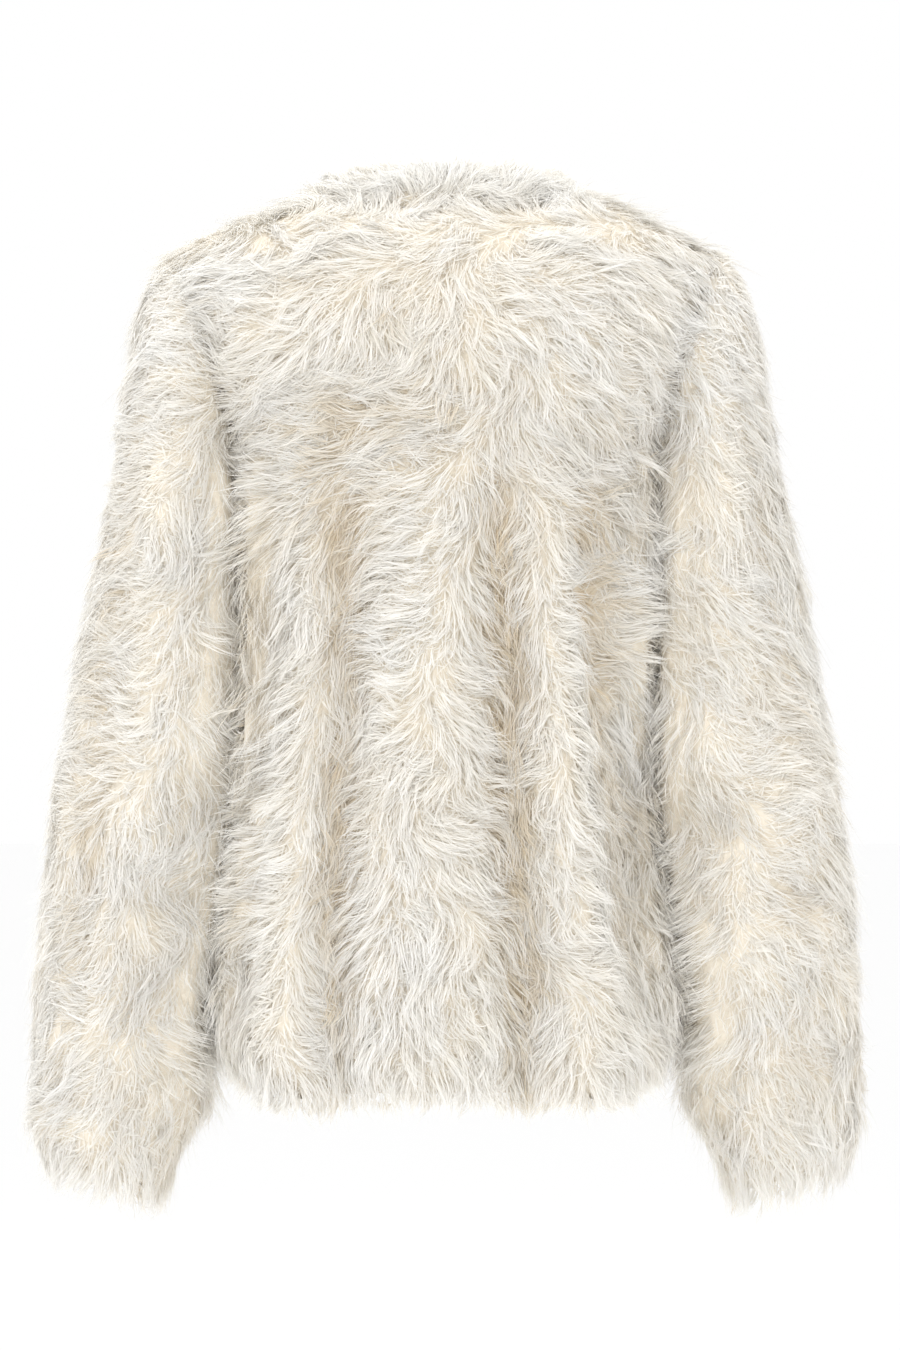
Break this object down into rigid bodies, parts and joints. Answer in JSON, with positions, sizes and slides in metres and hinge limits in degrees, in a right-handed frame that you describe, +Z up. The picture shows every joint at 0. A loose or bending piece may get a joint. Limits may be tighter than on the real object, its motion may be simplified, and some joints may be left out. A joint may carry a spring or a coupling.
{
  "type": "cropped cardigan",
  "caption": "Cropped long-sleeved cardigan in ivory long-pile faux fur, round neck, open front, filled out as worn and hollow inside.",
  "frame": {"origin": "inside the neck, at the middle of the line between the shoulders, level with the back neck seam's lowest point", "axes": "+Z up, +Y to the garment's back, +X to the wearer's left"},
  "size_m": [0.5482, 0.2706, 0.6804],
  "materials": {
    "ivory_fur": "long soft pile, brushed, slightly glossy tips"
  },
  "bodies": {
    "root": {"back": "ivory_fur", "front_left": "ivory_fur", "front_right": "ivory_fur", "sleeve_left": "ivory_fur", "sleeve_right": "ivory_fur", "neckband": "ivory_fur"}
  },
  "joints": []
}
